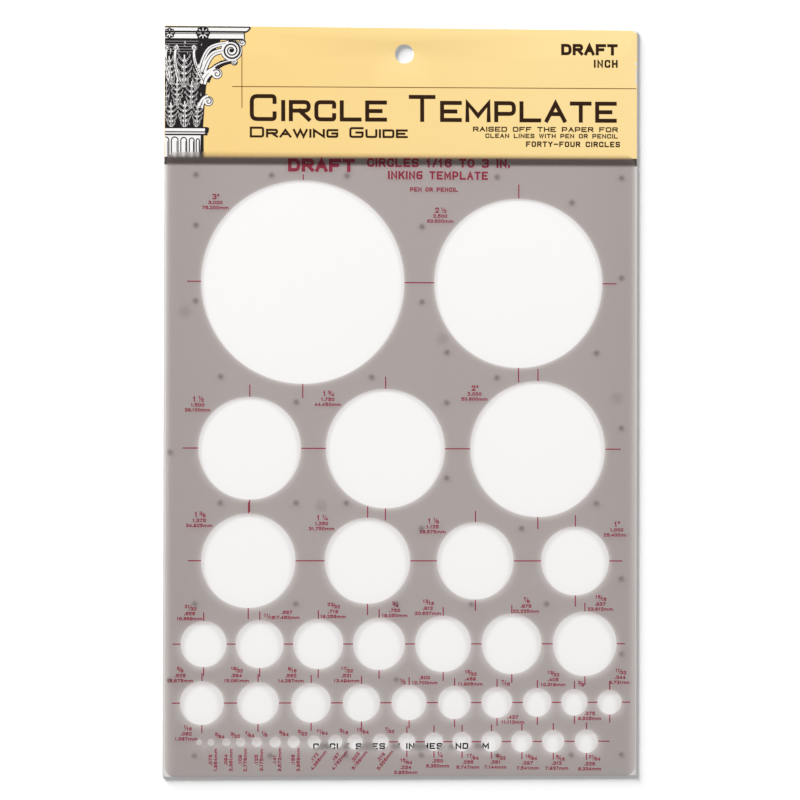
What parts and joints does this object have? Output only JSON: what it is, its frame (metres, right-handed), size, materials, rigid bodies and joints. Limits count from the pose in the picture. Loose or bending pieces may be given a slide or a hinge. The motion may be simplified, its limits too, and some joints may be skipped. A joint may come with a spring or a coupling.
{
  "type": "circle template",
  "caption": "Flat see-through drafting template with graded round holes and printed size marks, held by glue dots on a printed hanging card.",
  "frame": {"origin": "middle of the card's back face, on the surface it lies on", "axes": "+Y along the card towards its hang hole, +X to the reader's right, +Z out of the printed face"},
  "size_m": [0.1794, 0.2826, 0.003],
  "materials": {
    "paperboard": "smooth coated paperboard, printed yellow header and dark brown band",
    "tinted_plastic": "smoky grey see-through sheet, satin gloss",
    "clear_glue": "clear soft peelable glue"
  },
  "bodies": {
    "card": {"backing_card": "paperboard", "glue_dot_1": "clear_glue", "glue_dot_2": "clear_glue", "glue_dot_3": "clear_glue", "glue_dot_4": "clear_glue"},
    "template": {"template_sheet": "tinted_plastic"}
  },
  "joints": [
    {"name": "template_lift", "type": "slide", "parent": "card", "child": "template", "axis": [0, 0, 1], "range_m": [0, 0.06]}
  ]
}
